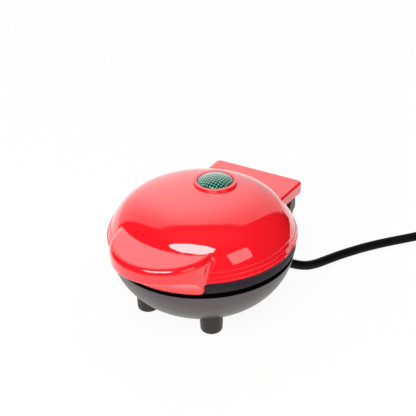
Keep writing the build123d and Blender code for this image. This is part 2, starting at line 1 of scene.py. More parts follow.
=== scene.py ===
# %% [markdown]
# # A mini waffle maker, dressed for its photograph
# The frame holds every real piece of the appliance at its real size: the red
# lid, the grey bowl, the plates, the heaters, the hinge and the lead. This
# script gives each of them the finish it has in the real object, and works
# out new surfaces for the pieces whose fine shape shows: the lens, the feet,
# the strain relief, the tie, the plug and the lead itself.

# %% Load the frame
import math

import bpy
import numpy as np
from mathutils import Matrix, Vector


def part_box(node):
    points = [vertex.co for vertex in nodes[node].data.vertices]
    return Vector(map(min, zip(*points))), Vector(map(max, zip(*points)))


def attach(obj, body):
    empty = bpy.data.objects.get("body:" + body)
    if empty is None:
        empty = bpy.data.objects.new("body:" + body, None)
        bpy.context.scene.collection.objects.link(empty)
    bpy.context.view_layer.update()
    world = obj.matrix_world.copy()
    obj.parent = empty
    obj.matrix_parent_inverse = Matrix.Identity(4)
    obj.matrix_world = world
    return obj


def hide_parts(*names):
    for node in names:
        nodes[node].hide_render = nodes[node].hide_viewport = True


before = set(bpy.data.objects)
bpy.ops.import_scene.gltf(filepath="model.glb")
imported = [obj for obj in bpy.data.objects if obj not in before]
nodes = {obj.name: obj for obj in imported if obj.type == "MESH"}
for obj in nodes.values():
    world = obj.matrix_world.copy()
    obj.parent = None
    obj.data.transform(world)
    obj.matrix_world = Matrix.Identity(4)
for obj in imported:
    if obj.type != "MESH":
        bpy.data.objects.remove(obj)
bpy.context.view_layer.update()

MM = 0.001
scene = bpy.context.scene
print("nodes in the frame:", len(nodes))

# %% [markdown]
# ## The camera
# The photograph was taken from above the lid and from its front right.
# The numbers come from matching known edges of the appliance to where they
# lie in the picture: a direction round it, a height, a slight lean of the
# camera and a long lens. A tracked camera would be simpler to read, but it
# couldn't hold that lean, so the three axes are written out.

# %% Camera
CAMERA_PLACE = (0.31077, -0.49993, 0.40881)
CAMERA_TURN = math.radians(31.47)
CAMERA_RISE = math.radians(29.99)
CAMERA_LEAN = math.radians(-1.06)
LENS_MM = 89.24


def camera_axes(turn, rise, lean):
    """Right, up and back of a camera at a turn and a rise, then leant about its own line of sight."""
    back = np.array([math.sin(turn) * math.cos(rise), -math.cos(turn) * math.cos(rise), math.sin(rise)])
    right = np.array([math.cos(turn), math.sin(turn), 0.0])
    up = np.cross(back, right)
    leant_right = math.cos(lean) * right + math.sin(lean) * up
    leant_up = math.cos(lean) * up - math.sin(lean) * right
    return np.column_stack([leant_right, leant_up, back])


camera = bpy.data.objects.new("camera", bpy.data.cameras.new("camera"))
scene.collection.objects.link(camera)
camera.data.lens = LENS_MM
turned = Matrix(camera_axes(CAMERA_TURN, CAMERA_RISE, CAMERA_LEAN).tolist()).to_4x4()
camera.matrix_world = Matrix.Translation(CAMERA_PLACE) @ turned
scene.camera = camera

# %% [markdown]
# ## The cord
# A black PVC lead leaves the bowl through its strain relief, low behind the
# hinge, drops to the table and runs off to the right. The length that the
# photograph doesn't show is put away in a small flat coil outside the view,
# two layers deep, with a tie round them. A mesh tube could draw it, but a
# curve with a round bevel keeps its true length, and a few control points
# make it bend as smoothly as a real lead does.

# %% Route of the cord
CORD_RADIUS = 3.25
GLAND_END = (41.50, 47.74, 12.40)
CORD_FREE = [(47.96, 55.17, 7.49), (52.7, 66.8, 4.0), (57.8, 79.0, 3.25), (64.6, 91.9, 3.25),
             (79.0, 114.0, 3.25), (103.48, 139.76, 4.2), (117.93, 158.93, 4.2)]
COIL_CENTRE = np.array([156.5, 138.0, 4.2])
COIL_HEADING = math.radians(53.0)
COIL_OUTER = 43.4
COIL_STEP = 7.0
COIL_RISE = 7.0
COIL_TURNS = 2.5
POINTS_PER_TURN = 16


def coil_points(turns):
    """Centres of the lead after some turns: the radius shrinks to the middle turn and grows again,
    and the height climbs one layer in the half turn where the radius is least."""
    middle = COIL_TURNS / 2
    reach = COIL_OUTER - COIL_STEP * (middle - np.abs(turns - middle))
    climb = np.clip((turns - middle + 0.25) / 0.5, 0, 1)
    first = math.atan2(math.cos(COIL_HEADING), -math.sin(COIL_HEADING))
    angle = first - 2 * math.pi * turns
    return COIL_CENTRE + np.column_stack([reach * np.cos(angle), reach * np.sin(angle), COIL_RISE * climb])


def cord_curve(name, points_mm, radius_mm):
    """A lead along control points: one quadratic NURBS spline with a round bevel."""
    curve = bpy.data.curves.new(name, "CURVE")
    curve.dimensions = "3D"
    curve.bevel_depth = radius_mm * MM
    curve.bevel_resolution = 6
    curve.use_fill_caps = True
    spline = curve.splines.new("NURBS")
    spline.points.add(len(points_mm) - 1)
    placed = np.column_stack([np.asarray(points_mm) * MM, np.ones(len(points_mm))])
    spline.points.foreach_set("co", placed.ravel())
    spline.order_u = 3
    spline.use_endpoint_u = True
    spline.resolution_u = 8
    piece = bpy.data.objects.new(name, curve)
    scene.collection.objects.link(piece)
    return piece


coil_turns = np.linspace(0, COIL_TURNS, round(COIL_TURNS * POINTS_PER_TURN) + 1)
coil_places = coil_points(coil_turns)
last_way = coil_places[-1] - coil_places[-2]
last_way = last_way / np.linalg.norm(last_way)
coil_end = coil_places[-1] + 2 * CORD_RADIUS * last_way
cord_points = [GLAND_END, *CORD_FREE, *coil_places.tolist(), coil_end.tolist()]
power_lead = cord_curve("power_lead", cord_points, CORD_RADIUS)
print("cord control points:", len(cord_points))

# %% [markdown]
# ## Surfaces from numbers
# A piece that shows its fine shape is a grid of points: a ring of points
# goes round, and the rings follow one another along the piece. Blender's own
# primitives could be pushed into place, but a formula for the whole grid
# says plainly what the shape is, and its density is chosen, not inherited.
# The two ends are closed with a fan, and the sign of the enclosed volume
# tells whether the faces point outwards.

# %% From rings to a closed mesh


def cubic_curve(corners, count):
    """Points along a cubic Bezier curve, from its four control points."""
    t = np.linspace(0, 1, count)[:, None]
    return ((1 - t) ** 3 * corners[0] + 3 * t * (1 - t) ** 2 * corners[1]
            + 3 * t * t * (1 - t) * corners[2] + t**3 * corners[3])


def skin(name, rings_mm, body, slot, finish, *replaced):
    """A closed mesh over rings of points: quads join ring to ring, and a fan to its middle closes each end."""
    rings = np.asarray(rings_mm) * MM
    count, around = rings.shape[:2]
    ends = np.stack([rings[0].mean(axis=0), rings[-1].mean(axis=0)])
    points = np.concatenate([rings.reshape(-1, 3), ends])
    low, side = np.meshgrid(np.arange(count - 1) * around, np.arange(around), indexing="ij")
    here, there = low + side, low + (side + 1) % around
    quads = np.stack([here, there, there + around, here + around], axis=-1).reshape(-1, 4)
    turn = np.arange(around)
    after = (turn + 1) % around
    top = (count - 1) * around
    first_fan = np.stack([after, turn, np.full(around, len(points) - 2)], axis=-1)
    last_fan = np.stack([top + turn, top + after, np.full(around, len(points) - 1)], axis=-1)
    fans = np.concatenate([first_fan, last_fan])
    triangles = np.concatenate([quads[:, :3], quads[:, [0, 2, 3]], fans])
    corners = points[triangles]
    volume = np.einsum("ij,ij->", corners[:, 0], np.cross(corners[:, 1], corners[:, 2])) / 6
    if volume < 0:
        quads, fans = quads[:, ::-1], fans[:, ::-1]
    mesh = bpy.data.meshes.new(name)
    mesh.from_pydata(points.tolist(), [], quads.tolist() + fans.tolist())
    mesh.polygons.foreach_set("use_smooth", np.ones(len(mesh.polygons), dtype=bool))
    mesh.materials.append(finish)
    piece = bpy.data.objects.new(name, mesh)
    scene.collection.objects.link(piece)
    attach(piece, body)
    if replaced:
        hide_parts(*replaced)
    print(name, "faces", len(mesh.polygons), "volume", round(abs(volume) * 1e9, 1), "mm3")


def turned_rings(profile, around, origin, along, aside):
    """Rings of a turned piece: each profile point is a distance from the axis and a place along it."""
    along = np.asarray(along) / np.linalg.norm(along)
    aside = np.asarray(aside) - along * np.dot(aside, along)
    aside = aside / np.linalg.norm(aside)
    across = np.cross(along, aside)
    angle = np.linspace(0, 2 * math.pi, around, endpoint=False)
    spoke = np.cos(angle)[:, None] * aside + np.sin(angle)[:, None] * across
    profile = np.asarray(profile)
    return np.asarray(origin) + profile[:, None, 0:1] * spoke + profile[:, None, 1:2] * along


def rounded(corners, radius, steps=6):
    """A profile through corner points, each inner corner cut back by radius and eased with a quadratic arc."""
    corners = [np.asarray(c, dtype=float) for c in corners]
    line = [corners[0]]
    for before, here, after in zip(corners, corners[1:], corners[2:]):
        back, on = before - here, after - here
        cut = min(radius, np.linalg.norm(back) / 2, np.linalg.norm(on) / 2)
        start = here + back / np.linalg.norm(back) * cut
        end = here + on / np.linalg.norm(on) * cut
        t = np.linspace(0, 1, steps)[:, None]
        line.extend((1 - t) ** 2 * start + 2 * t * (1 - t) * here + t * t * end)
    line.append(corners[-1])
    return np.array(line)


# %% [markdown]
# ## Nodes for materials
# Every finish is a small network of shader nodes. One function adds a node,
# sets its values and wires its sockets, so that a material reads as a list
# of what feeds what. Colours are written as the hex values that a screen
# shows, and one function turns them to the linear light that shaders use.

# %% Helpers for materials


def hex_colour(code):
    """Linear RGBA of an sRGB hex code: the low part is a straight line, the rest a power of 2.4."""
    srgb = np.array([int(code[i:i + 2], 16) for i in (1, 3, 5)]) / 255
    linear = np.where(srgb <= 0.04045, srgb / 12.92, ((srgb + 0.055) / 1.055) ** 2.4)
    return (*linear.tolist(), 1.0)


def add(tree, kind, sockets=(), stops=(), **settings):
    """Adds one node. Settings are its properties, stops the places and colours of a ramp, and sockets
    map an input to a value, or to an output to wire in."""
    node = tree.nodes.new("ShaderNode" + kind)
    for key, value in settings.items():
        setattr(node, key, value)
    for _ in stops[2:]:
        node.color_ramp.elements.new(0.5)
    for element, (place, colour) in zip(node.color_ramp.elements if stops else (), stops):
        element.position, element.color = place, hex_colour(colour)
    for key, value in dict(sockets).items():
        if isinstance(value, bpy.types.NodeSocket):
            tree.links.new(value, node.inputs[key])
        else:
            node.inputs[key].default_value = value
    return node


def new_material(name):
    """An empty node material, its tree and the place on the piece that its patterns are read at."""
    material = bpy.data.materials.new(name)
    material.use_nodes = True
    material.node_tree.nodes.clear()
    return material, material.node_tree, add(material.node_tree, "TexCoord").outputs["Object"]


def close_material(tree, sockets, height, depth_mm):
    """Ends a tree with a Principled surface whose bump is as deep as the real unevenness."""
    bump = add(tree, "Bump", {"Height": height, "Strength": 1.0, "Distance": depth_mm * MM})
    surface = add(tree, "BsdfPrincipled", {**sockets, "Normal": bump.outputs["Normal"]})
    add(tree, "OutputMaterial", {"Surface": surface.outputs["BSDF"]})


# %% [markdown]
# ## Plastics
# Injection-moulded plastic copies its mould. A polished mould gives the lid
# its mirror, with a faint orange peel where the skin shrank, and the colour
# deepens a little where the melt ran thicker. A spark-eroded mould gives
# the bowl its satin, a fine even grain that spreads every highlight. Image
# textures could show this, but noise at a real size in millimetres needs no
# unwrapping and holds at any distance. The black ring comes out of a turned
# mould, whose rings it keeps. The bowl's top edge lies under that ring, in a
# gap that no light reaches, and that shade is painted into the bowl there:
# its tone falls to near black and its reflection is turned off.

# %% Glossy, satin and ringed mouldings
LAND_FADE = 0.5
BOWL_LAND = 39.6
BOWL_LAND_REACH = 62.2


def glossy_moulding(name, colour, deep_colour):
    """ABS from a polished mould under clear lacquer: a deep gloss over slow flow marks, with an orange
    peel 3 mm across."""
    material, tree, place = new_material(name)
    flow = add(tree, "TexNoise", {"Vector": place, "Scale": 1 / (26 * MM), "Detail": 1.0})
    base = add(tree, "ValToRGB", {"Fac": flow.outputs["Fac"]}, [(0.3, deep_colour), (0.7, colour)])
    wipe = add(tree, "TexNoise", {"Vector": place, "Scale": 1 / (9 * MM), "Detail": 3.0})
    rough = add(tree, "MapRange", {"Value": wipe.outputs["Fac"], "To Min": 0.03, "To Max": 0.055})
    peel = add(tree, "TexNoise", {"Vector": place, "Scale": 1 / (3 * MM), "Detail": 1.0})
    close_material(tree, {"Base Color": base.outputs["Color"], "Roughness": rough.outputs["Result"],
                          "IOR": 1.53, "Coat Weight": 1.0, "Coat Roughness": 0.03, "Coat IOR": 1.5},
                   peel.outputs["Fac"], 0.004)
    return material


def moulding_with_painted_gap_shade(name, colour, light_colour, painted_shade_colour, land_mm, reach_mm, grain_mm, rough_low, rough_high):
    """Spark-eroded plastic with painted shade on a land: everything above one height and nearer the axis than
    one reach turns near black and loses its reflection, with a short fade at both."""
    material, tree, place = new_material(name)
    tone = add(tree, "TexNoise", {"Vector": place, "Scale": 1 / (14 * MM), "Detail": 2.0})
    height = add(tree, "SeparateXYZ", {"Vector": place}).outputs["Z"]
    above = add(tree, "MapRange", {"Value": height, "From Min": (land_mm - LAND_FADE) * MM, "From Max": land_mm * MM})
    flat = add(tree, "VectorMath", {0: place, 1: (1.0, 1.0, 0.0)}, operation="MULTIPLY")
    radius = add(tree, "VectorMath", {0: flat.outputs["Vector"]}, operation="LENGTH").outputs["Value"]
    within = add(tree, "MapRange", {"Value": radius, "From Min": reach_mm * MM,
                                    "From Max": (reach_mm + LAND_FADE) * MM, "To Min": 1.0, "To Max": 0.0})
    # painted shade: this mask marks the bowl's top land in the gap under the ring, which is coloured near black
    land = add(tree, "Math", {0: above.outputs["Result"], 1: within.outputs["Result"]}, operation="MULTIPLY")
    side = add(tree, "Math", {0: 1.0, 1: land.outputs[0]}, operation="SUBTRACT").outputs[0]
    tone_above = add(tree, "Math", {0: tone.outputs["Fac"], 1: side}, operation="MULTIPLY")
    base = add(tree, "ValToRGB", {"Fac": tone_above.outputs[0]},
               [(0.02, painted_shade_colour), (0.25, colour), (0.75, light_colour)])
    grain = add(tree, "TexNoise", {"Vector": place, "Scale": 1 / (grain_mm * MM), "Detail": 2.0})
    rough = add(tree, "MapRange", {"Value": grain.outputs["Fac"], "To Min": rough_low, "To Max": rough_high})
    # painted shade: the land's reflection is turned off as well
    sheen = add(tree, "Math", {0: side, 1: 0.5}, operation="MULTIPLY")
    close_material(tree, {"Base Color": base.outputs["Color"], "Roughness": rough.outputs["Result"],
                          "Specular IOR Level": sheen.outputs[0]}, grain.outputs["Fac"], 0.02)
    return material


def ringed_moulding(name, colour, line_colour, ring_mm, rough_low, rough_high, index):
    """Phenolic from a turned mould: level rings, with a groove a tenth of a millimetre deep between them."""
    material, tree, place = new_material(name)
    across = add(tree, "Mapping", {"Vector": place, "Scale": (0.0, 0.0, 1.0)})
    rings = add(tree, "TexWave", {"Vector": across.outputs["Vector"], "Scale": math.pi / 10 / (ring_mm * MM)},
                bands_direction="Z")
    base = add(tree, "ValToRGB", {"Fac": rings.outputs["Fac"]}, [(0.1, colour), (0.9, line_colour)])
    rough = add(tree, "MapRange", {"Value": rings.outputs["Fac"], "To Min": rough_high, "To Max": rough_low})
    close_material(tree, {"Base Color": base.outputs["Color"], "Roughness": rough.outputs["Result"],
                          "IOR": index}, rings.outputs["Fac"], 0.1)
    return material


def satin_moulding(name, colour, light_colour, grain_mm, rough_low, rough_high, index=1.5):
    """Plastic or rubber from a spark-eroded mould: a fine grain, and a tone that drifts over 14 mm."""
    material, tree, place = new_material(name)
    tone = add(tree, "TexNoise", {"Vector": place, "Scale": 1 / (14 * MM), "Detail": 2.0})
    base = add(tree, "ValToRGB", {"Fac": tone.outputs["Fac"]}, [(0.3, colour), (0.75, light_colour)])
    grain = add(tree, "TexNoise", {"Vector": place, "Scale": 1 / (grain_mm * MM), "Detail": 2.0})
    rough = add(tree, "MapRange", {"Value": grain.outputs["Fac"], "To Min": rough_low, "To Max": rough_high})
    close_material(tree, {"Base Color": base.outputs["Color"], "Roughness": rough.outputs["Result"],
                          "IOR": index}, grain.outputs["Fac"], 0.02)
    return material


red_abs = glossy_moulding("red_abs_lacquered", "#F91D28", "#F31A25")
# painted shade: the bowl's top land under the ring is coloured near black
charcoal_abs = moulding_with_painted_gap_shade("charcoal_abs_spark_eroded_painted_gap_shade", "#4C4445", "#544B4C", "#050405", BOWL_LAND,
                               BOWL_LAND_REACH, 0.45, 0.30, 0.40)
phenolic = ringed_moulding("black_phenolic_ring", "#0F0810", "#211925", 1.7, 0.34, 0.5, 1.4)
rubber = satin_moulding("brown_black_rubber_foot", "#2C2524", "#332C2A", 0.6, 0.38, 0.5, 1.42)
pvc = satin_moulding("black_pvc_jacket", "#060607", "#090909", 0.9, 0.45, 0.55, 1.2)
pvc_plug = satin_moulding("black_pvc_plug", "#121213", "#171719", 0.5, 0.38, 0.5)
tie_nylon = satin_moulding("black_nylon_tie", "#1C1C1E", "#232325", 0.3, 0.4, 0.5)
silicone = satin_moulding("white_silicone_sleeve", "#D8D4CB", "#E2DED6", 0.5, 0.45, 0.6)
thermostat_case = satin_moulding("brown_phenolic_thermostat", "#4B2C20", "#553426", 0.5, 0.4, 0.55)
holder_plastic = satin_moulding("white_polyamide_lamp_holder", "#D5D9D2", "#E0E3DD", 0.5, 0.35, 0.5)

# %% [markdown]
# ## Metals and coatings
# The screws and pins are zinc-plated steel, the heaters are a nickel alloy
# tube that oxidises to a warm grey, and the shields are rolled aluminium
# with fine lines along the roll. The cast plates wear a dark non-stick coat
# with a fine pebble to it. A metal's colour sits in its base colour, with
# metallic at one and the default index.

# %% Plated, rolled and coated metal


def plated_metal(name, colour, worn_colour, rough_low, rough_high, patch_mm):
    """Metal whose plating varies a little in tone and gloss over patches."""
    material, tree, place = new_material(name)
    patch = add(tree, "TexNoise", {"Vector": place, "Scale": 1 / (patch_mm * MM), "Detail": 4.0})
    base = add(tree, "ValToRGB", {"Fac": patch.outputs["Fac"]}, [(0.3, colour), (0.8, worn_colour)])
    rough = add(tree, "MapRange", {"Value": patch.outputs["Fac"], "To Min": rough_low, "To Max": rough_high})
    close_material(tree, {"Base Color": base.outputs["Color"], "Metallic": 1.0,
                          "Roughness": rough.outputs["Result"]}, patch.outputs["Fac"], 0.02)
    return material


def rolled_sheet(name, colour, line_colour, line_mm):
    """Rolled sheet: noise stretched along X draws the fine lines that the rollers leave."""
    material, tree, place = new_material(name)
    drawn = add(tree, "Mapping", {"Vector": place, "Scale": (0.03, 1.0, 1.0)})
    lines = add(tree, "TexNoise", {"Vector": drawn.outputs["Vector"], "Scale": 1 / (line_mm * MM), "Detail": 3.0})
    base = add(tree, "ValToRGB", {"Fac": lines.outputs["Fac"]}, [(0.3, colour), (0.75, line_colour)])
    rough = add(tree, "MapRange", {"Value": lines.outputs["Fac"], "To Min": 0.25, "To Max": 0.42})
    close_material(tree, {"Base Color": base.outputs["Color"], "Metallic": 1.0,
                          "Roughness": rough.outputs["Result"]}, lines.outputs["Fac"], 0.01)
    return material


def nonstick_coat(name):
    """Sprayed non-stick coat on cast aluminium: a dark film with pale mineral specks and a fine pebble."""
    material, tree, place = new_material(name)
    speck = add(tree, "TexVoronoi", {"Vector": place, "Scale": 1 / (1.1 * MM)})
    spots = add(tree, "ValToRGB", {"Fac": speck.outputs["Distance"]},
                [(0.0, "#6E6C6A"), (0.12, "#2B2A2A"), (1.0, "#232222")])
    pebble = add(tree, "TexNoise", {"Vector": place, "Scale": 1 / (0.35 * MM), "Detail": 2.0})
    rough = add(tree, "MapRange", {"Value": pebble.outputs["Fac"], "To Min": 0.3, "To Max": 0.42})
    close_material(tree, {"Base Color": spots.outputs["Color"], "Roughness": rough.outputs["Result"],
                          "IOR": 1.42}, pebble.outputs["Fac"], 0.02)
    return material


zinc_steel = plated_metal("zinc_plated_steel", "#C6C8CA", "#A9ABAE", 0.22, 0.4, 2.5)
heater_alloy = plated_metal("oxidised_heater_alloy", "#6F6862", "#7D7269", 0.38, 0.55, 6.0)
shield_sheet = rolled_sheet("rolled_aluminium_shield", "#D4D5D6", "#B9BABB", 0.4)
brass = plated_metal("nickel_plated_brass_blade", "#D2CDBF", "#C2B99F", 0.16, 0.3, 3.0)
fuse_tin = plated_metal("tinned_fuse_can", "#BDBBB5", "#A6A39B", 0.3, 0.45, 2.0)
coated_plate = nonstick_coat("nonstick_coated_aluminium")

# %% [markdown]
# ## Where the handle meets the lid
# The moulder eases the corner between the handle's side wall and the dome
# with a hollow fillet, which catches a thin pale line. A boolean and a bevel
# would leave slivers on a wall that meets a dome at a slant, so the fillet
# is worked out height by height: in plan, one circle that touches both the
# circle of the handle and the circle of the dome from outside.

# %% Two hollow fillets
HANDLE_RADIUS = 34.5
HANDLE_MIDDLE = -45.8
HANDLE_TOP = 67.8
HANDLE_EDGE = 4.0
DOME_SIDE = np.array([(63.5, 51.7), (54.6, 75.7), (43.8, 80.5), (0.0, 80.5)])
BLEND_RADIUS = 6.0
BLEND_FOOT = 51.8
BLEND_SUNK = 0.35
BLEND_LEVELS = 40
BLEND_STEPS = 15


def dome_radius(height):
    """Distance of the dome's outer skin from its axis at a height, read off its cubic side curve."""
    side = cubic_curve(DOME_SIDE, 800)
    return np.interp(height, side[:, 1], side[:, 0])


def circles_meet(near, far):
    """Where a circle round the handle's middle meets one round the axis, on the right: x and y."""
    y = (HANDLE_MIDDLE**2 + far**2 - near**2) / (2 * HANDLE_MIDDLE)
    return np.stack([np.sqrt(far**2 - y**2), y], axis=-1)


def blend_rings(hand):
    """Rings of one fillet: the hollow arc from wall to dome at each height, and the same arc's shadow on the
    corner line inside both, which closes it."""
    height = np.linspace(BLEND_FOOT, HANDLE_TOP - 0.02, BLEND_LEVELS)
    rounding = np.clip(height - (HANDLE_TOP - HANDLE_EDGE), 0, HANDLE_EDGE)
    wall = HANDLE_RADIUS - HANDLE_EDGE + np.sqrt(HANDLE_EDGE**2 - rounding**2)
    dome = dome_radius(height)
    middle = circles_meet(wall + BLEND_RADIUS, dome + BLEND_RADIUS)
    handle_middle = np.array([0.0, HANDLE_MIDDLE])
    to_wall = (handle_middle - middle) / (wall + BLEND_RADIUS)[:, None]
    to_dome = -middle / (dome + BLEND_RADIUS)[:, None]
    start = np.arctan2(to_wall[:, 1], to_wall[:, 0])
    turn = np.arctan2(to_dome[:, 1], to_dome[:, 0]) - start
    turn = (turn + math.pi) % (2 * math.pi) - math.pi
    angle = start[:, None] + turn[:, None] * np.linspace(0, 1, BLEND_STEPS)
    spoke = np.stack([np.cos(angle), np.sin(angle)], axis=-1)
    arc = middle[:, None] + BLEND_RADIUS * spoke
    corner = circles_meet(wall - BLEND_SUNK, dome - BLEND_SUNK)[:, None]
    share = np.abs(np.linspace(-1, 1, BLEND_STEPS))[:, None]
    inner = corner + (arc + BLEND_SUNK * spoke - corner) * share
    flat = np.concatenate([arc, inner[:, ::-1]], axis=1)
    closed = np.concatenate([inner, inner[:, ::-1]], axis=1)
    plan = np.concatenate([closed[:1], flat, closed[-1:]])
    level = np.concatenate([height[:1], height, height[-1:] - BLEND_SUNK])
    rings = np.concatenate([plan, np.broadcast_to(level[:, None, None], plan.shape[:2] + (1,))], axis=-1)
    return rings * (hand, 1, 1)


for side, hand in (("left", -1), ("right", 1)):
    skin(f"handle_fillet_{side}", blend_rings(hand), "lid", "lid_red", red_abs)

# %% [markdown]
# ## The green lens
# The lamp shows through a low dome of green polycarbonate that is covered in
# small raised beads in diagonal rows, so it sparkles in dots. Bumps in a
# material could draw them, but real ones catch the panels one by one and
# stay in the mesh. The beads are a product of two cosine waves across the
# diagonals, kept where both are positive. A highlight is painted on each
# bead: the colour is pale green on the beads and the lens's own deep green
# between them, and that tone follows the same waves.

# %% Lens surface and its finish
LENS_BEAD_MM = 1.45
LENS_BEAD_HIGH = 0.2
LENS_CROWN = 2.86
LENS_RADIUS = 11.7
LENS_FLANGE_THICK = 1.2
LENS_EDGE = 0.35
LENS_BORDER = 0.5
LENS_FADE = 0.6
LENS_MARGIN = 0.08
LENS_RINGS = 84
LENS_AROUND = 240
lens_low, lens_high = np.array(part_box("indicator_lens")) / MM
lens_middle = (lens_low + lens_high) / 2
lens_flange = (lens_high[0] - lens_low[0]) / 2


def bead_wave(x, y):
    """Height of the beads from 0 to 1: the product of two cosines across the diagonals, where it is positive."""
    first = np.cos(math.pi * (x + y) / (math.sqrt(2) * LENS_BEAD_MM))
    second = np.cos(math.pi * (x - y) / (math.sqrt(2) * LENS_BEAD_MM))
    return np.clip(first * second, 0, 1)


def beaded_lens():
    """Rings of the lens: flat flange, upright side, then a crown that falls as the square of the radius,
    with beads on it that fade out by the rim."""
    angle = np.linspace(0, 2 * math.pi, LENS_AROUND, endpoint=False)
    crown_foot = lens_high[2] - LENS_CROWN - LENS_BEAD_HIGH - LENS_MARGIN
    flange_top = lens_low[2] + LENS_FLANGE_THICK
    side = rounded([(0.3, lens_low[2]), (lens_flange, lens_low[2]), (lens_flange, flange_top),
                    (LENS_RADIUS, flange_top), (LENS_RADIUS, crown_foot)], 0.2)
    rim_steps = np.linspace(0, math.pi / 2, 6)[1:]
    rim = np.column_stack([LENS_RADIUS - LENS_EDGE * (1 - np.cos(rim_steps)),
                           crown_foot - 0.02 + 0.1 * np.sin(rim_steps)])
    radius = np.linspace(rim[-1, 0], 0.12, LENS_RINGS)[1:]
    share = radius / LENS_RADIUS
    top = rim[-1, 1] + LENS_CROWN * (1 - share**2)
    profile = np.concatenate([side, rim, np.column_stack([radius, top])])
    x = profile[:, :1] * np.cos(angle)
    y = profile[:, :1] * np.sin(angle)
    fade = np.clip((LENS_RADIUS - LENS_BORDER - profile[:, :1]) / LENS_FADE, 0, 1) * (profile[:, 1:] > crown_foot)
    z = profile[:, 1:] + LENS_BEAD_HIGH * bead_wave(x, y) * fade
    return np.stack([x + lens_middle[0], y + lens_middle[1], z], axis=-1)


def beaded_polycarbonate(name):
    """Tinted polycarbonate with painted bead highlights: pale on the beads, deep green between, under a hard gloss.
    """
    material, tree, place = new_material(name)
    waves = []
    for turn in (45, -45):
        centred = add(tree, "Mapping", {"Vector": place, "Location": (-lens_middle[0] * MM, -lens_middle[1] * MM, 0)},
                      vector_type="POINT")
        turned_place = add(tree, "VectorRotate", {"Vector": centred.outputs["Vector"], "Angle": math.radians(turn)},
                           rotation_type="Z_AXIS")
        across = add(tree, "SeparateXYZ", {"Vector": turned_place.outputs["Vector"]}).outputs["X"]
        phase = add(tree, "Math", {0: across, 1: math.pi / (LENS_BEAD_MM * MM)}, operation="MULTIPLY")
        waves.append(add(tree, "Math", {0: phase.outputs[0]}, operation="COSINE").outputs[0])
    both = add(tree, "Math", {0: waves[0], 1: waves[1]}, operation="MULTIPLY")
    # painted highlight: pale green on the bead tops, the lens's own deep green between them
    base = add(tree, "ValToRGB", {"Fac": both.outputs[0]}, [(0.0, "#02372A"), (0.4, "#0A6A50"), (0.85, "#6BE6C0")])
    haze = add(tree, "TexNoise", {"Vector": place, "Scale": 1 / (0.8 * MM), "Detail": 2.0})
    close_material(tree, {"Base Color": base.outputs["Color"], "Roughness": 0.16, "IOR": 1.58, "Coat Weight": 1.0,
                          "Coat Roughness": 0.06, "Coat IOR": 1.58, "Sheen Weight": 0.85,
                          "Sheen Roughness": 0.35}, haze.outputs["Fac"], 0.003)
    return material


green_lens = beaded_polycarbonate("green_polycarbonate_lens_painted_highlights")
skin("signal_lens", beaded_lens(), "lid", "lens_green", green_lens, "indicator_lens")

# %% [markdown]
# ## Lamp glass
# Behind the lens sits a small neon lamp in clear glass. It hardly shows, but
# it is there when the lid is looked at from inside. Glass is transmission
# with an index of 1.47 and hardly any roughness.

# %% Lamp glass


def lamp_glass(name):
    """Thin clear glass, a little smoked by the glow inside."""
    material, tree, place = new_material(name)
    smoke = add(tree, "TexNoise", {"Vector": place, "Scale": 1 / (2 * MM), "Detail": 2.0})
    base = add(tree, "ValToRGB", {"Fac": smoke.outputs["Fac"]}, [(0.3, "#E8D9C8"), (0.8, "#F4EEE6")])
    close_material(tree, {"Base Color": base.outputs["Color"], "Roughness": 0.05, "IOR": 1.47,
                          "Transmission Weight": 0.9}, smoke.outputs["Fac"], 0.003)
    return material


neon_glass = lamp_glass("neon_lamp_glass")

# %% [markdown]
# ## The feet
# Four rubber feet carry the bowl. Each is a turned plug with a slight draft,
# a soft shoulder at the table and a shallow cup underneath, which lets it
# grip. Its upper end is not flat, because the bowl curves away above it: the
# last rings rise to the height that the bowl has over each of their points.

# %% Four feet under the bowl
BOWL_SIDE = np.array([(61.7, 39.7), (59.1, 20.7), (42.4, 8.7), (38.8, 8.7)])
FOOT_AROUND = 96
FOOT_CUP = 0.7
FOOT_SHOULDER = 2.2
FOOT_SUNK = 0.6
FOOT_DRAFT = 0.35


def bowl_height(radius):
    """Height of the bowl's outer skin at a distance from its axis, read off its cubic side curve."""
    side = cubic_curve(BOWL_SIDE, 400)
    return np.interp(radius, side[::-1, 0], side[::-1, 1])


def foot_rings(middle, radius):
    """Cup, standing ring, shoulder and drafted side: heights run from the table to the bowl above."""
    foot = rounded([(0.3, FOOT_CUP), (radius * 0.46, FOOT_CUP), (radius * 0.54, 0.0), (radius * 0.72, 0.0)], 0.5)
    angle = np.linspace(0, math.pi / 2, 10)
    inner = radius - FOOT_DRAFT - FOOT_SHOULDER
    shoulder = np.column_stack([inner + FOOT_SHOULDER * np.sin(angle), FOOT_SHOULDER * (1 - np.cos(angle))])
    rise = np.linspace(0, 1, 14)[1:]
    side = np.column_stack([radius - FOOT_DRAFT + FOOT_DRAFT * rise, np.full(len(rise), FOOT_SHOULDER)])
    profile = np.concatenate([foot, shoulder, side])
    share = np.concatenate([np.zeros(len(foot) + len(shoulder)), rise])[:, None]
    around = np.linspace(0, 2 * math.pi, FOOT_AROUND, endpoint=False)
    x = middle[0] + profile[:, :1] * np.cos(around)
    y = middle[1] + profile[:, :1] * np.sin(around)
    bowl_above = bowl_height(np.hypot(x, y)) + FOOT_SUNK
    z = profile[:, 1:] + share * (bowl_above - FOOT_SHOULDER)
    return np.stack([x, y, z], axis=-1)


for row in ("front", "rear"):
    for side in ("left", "right"):
        low, high = np.array(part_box(f"foot_{row}_{side}")) / MM
        rings = foot_rings((low + high) / 2, (high[1] - low[1]) / 2)
        skin(f"rubber_foot_{row}_{side}", rings, "base", "foot_rubber", rubber, f"foot_{row}_{side}")

